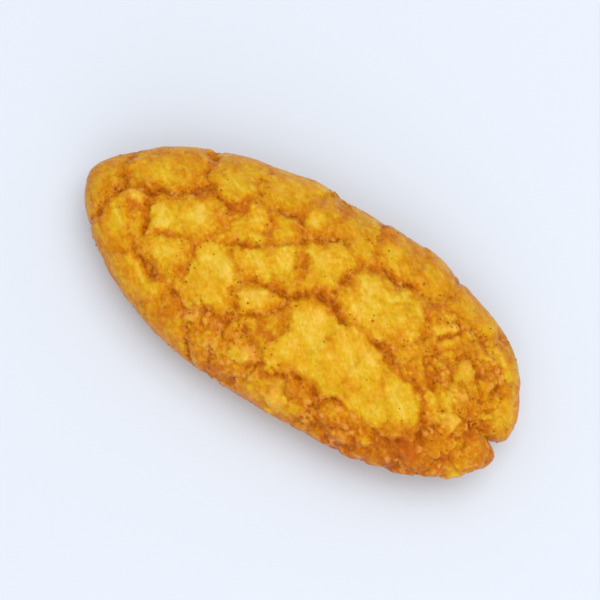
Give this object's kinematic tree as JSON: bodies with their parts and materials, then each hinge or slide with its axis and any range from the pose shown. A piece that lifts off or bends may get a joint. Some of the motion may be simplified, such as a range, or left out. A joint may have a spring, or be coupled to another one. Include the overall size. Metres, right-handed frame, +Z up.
{
  "type": "japanese rice cracker",
  "caption": "Oval puffed rice cracker with a glazed golden crust broken into raised plates and sunken seams, split at one tip.",
  "frame": {"origin": "middle of the bottom of the cracker's box, on the table it lies on", "axes": "+X along the cracker towards its split end, +Y across it, +Z up through the crown"},
  "size_m": [0.0452, 0.0208, 0.0082],
  "materials": {
    "crust": "puffed, fried rice crust with an oily glaze: golden yellow plates, orange brown seams, fine dark spice"
  },
  "bodies": {
    "root": {"cracker": "crust"}
  },
  "joints": []
}
